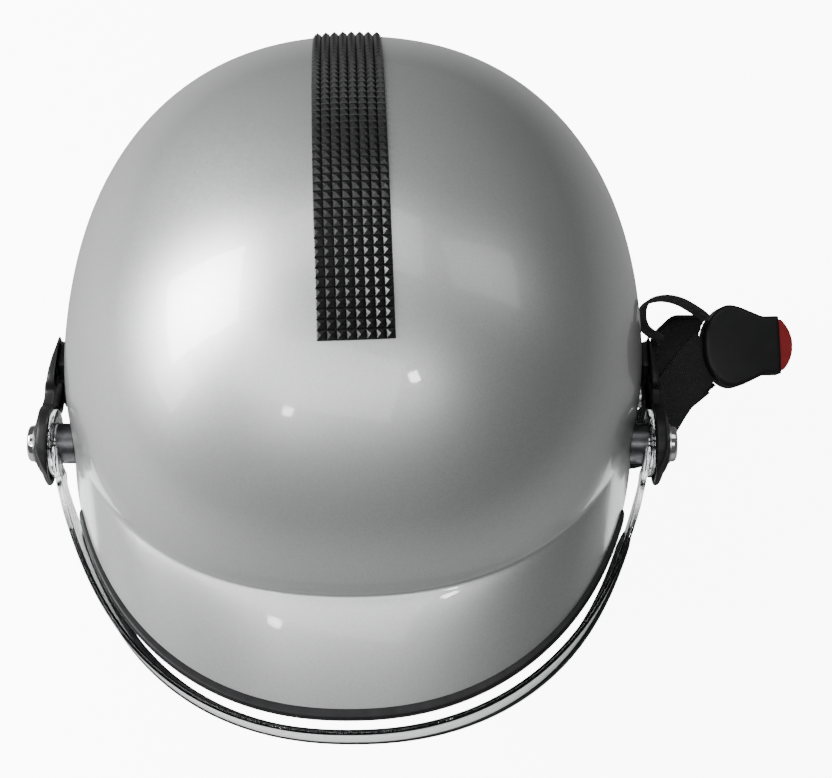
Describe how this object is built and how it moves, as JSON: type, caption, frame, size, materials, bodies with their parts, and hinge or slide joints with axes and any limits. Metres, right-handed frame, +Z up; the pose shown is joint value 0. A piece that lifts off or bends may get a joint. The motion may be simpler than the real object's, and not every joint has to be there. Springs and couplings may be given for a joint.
{
  "type": "open face motorcycle helmet",
  "caption": "Open face helmet shell with a flared peak, studded crown strip, hinged clear visor, foam liner, comfort pads and a chin strap with push-button buckle.",
  "frame": {"origin": "centre of the head opening, in the plane of the lower rim", "axes": "+X wearer's left, -Y front of the helmet, +Z up towards the crown"},
  "size_m": [0.3248, 0.3121, 0.2967],
  "materials": {
    "shell_paint": "ABS with metallic silver paint under a gloss clear coat",
    "black_rubber": "satin extruded edging",
    "studded_rubber": "glossy rows of small pyramid studs",
    "eps_foam": "expanded polystyrene beads, dark grey",
    "lining_fabric": "quilted knitted lining",
    "black_plastic": "fine moulded grain",
    "grey_metal": "turned, satin",
    "chrome": "polished",
    "steel": "zinc plated",
    "clear_visor": "clear polycarbonate, glossy",
    "webbing": "woven nylon webbing",
    "flap_leatherette": "grained leatherette with a stitched edge",
    "red_plastic": "moulded, slight sheen"
  },
  "bodies": {
    "root": {"outer_shell": "shell_paint", "rim_trim": "black_rubber", "brim_trim": "black_rubber", "crown_stripe": "studded_rubber", "eps_liner": "eps_foam", "brow_pad": "lining_fabric", "nape_pad": "lining_fabric", "side_pad_left": "lining_fabric", "side_pad_right": "lining_fabric", "crown_pad": "lining_fabric", "side_plate_left": "black_plastic", "side_plate_right": "black_plastic", "pivot_spacer_left": "grey_metal", "pivot_spacer_right": "grey_metal", "pivot_screw_left": "chrome", "pivot_screw_right": "chrome", "pivot_washer_left": "steel", "pivot_washer_right": "steel", "pivot_tnut_left": "steel", "pivot_tnut_right": "steel", "strap_hanger_left": "steel", "strap_hanger_right": "steel", "strap_rivet_left": "steel", "strap_rivet_right": "steel"},
    "visor": {"visor_shield": "clear_visor", "visor_edge_trim": "black_rubber"},
    "left_strap": {"chin_strap_left": "webbing", "ear_flap_left": "flap_leatherette", "strap_tail": "webbing", "buckle_housing": "black_plastic", "buckle_cover": "black_plastic", "buckle_latch_pin": "steel", "buckle_springs": "steel"},
    "release_button": {"buckle_button": "red_plastic"},
    "latch": {"buckle_latch": "steel"},
    "right_strap": {"chin_strap_right": "webbing", "ear_flap_right": "flap_leatherette", "tongue_grip": "black_plastic", "buckle_tongue": "steel"},
    "slider": {"strap_slider": "black_plastic"}
  },
  "joints": [
    {"name": "visor_pivot", "type": "hinge", "parent": "root", "child": "visor", "pos_m": [0, -0.0485, 0.034], "axis": [-1, 0, 0], "range_deg": [0, 75]},
    {"name": "left_strap_swing", "type": "hinge", "parent": "root", "child": "left_strap", "pos_m": [0.1105, -0.022, -0.0105], "axis": [0, 1, 0], "range_deg": [0, 80]},
    {"name": "button_press", "type": "slide", "parent": "left_strap", "child": "release_button", "axis": [-0.9919, -0.092, 0.0872], "range_m": [0, 0.0035], "stiffness_N_per_m": 600, "springref_m": -0.002, "deforming": ["buckle_springs"]},
    {"name": "latch_release", "type": "hinge", "parent": "left_strap", "child": "latch", "pos_m": [0.16306, 0.01962, 0.00792], "axis": [0.0368, -0.8672, -0.4967], "range_deg": [0, 12.5]},
    {"name": "right_strap_swing", "type": "hinge", "parent": "root", "child": "right_strap", "pos_m": [-0.1105, -0.022, -0.0105], "axis": [0, 1, 0], "range_deg": [-30, 70]},
    {"name": "slider_travel", "type": "slide", "parent": "right_strap", "child": "slider", "axis": [0, 0, 1], "range_m": [-0.005, 0.017]}
  ],
  "couplings": [
    {"joint": "latch_release", "follows": "button_press", "rad_per_m": 60}
  ]
}
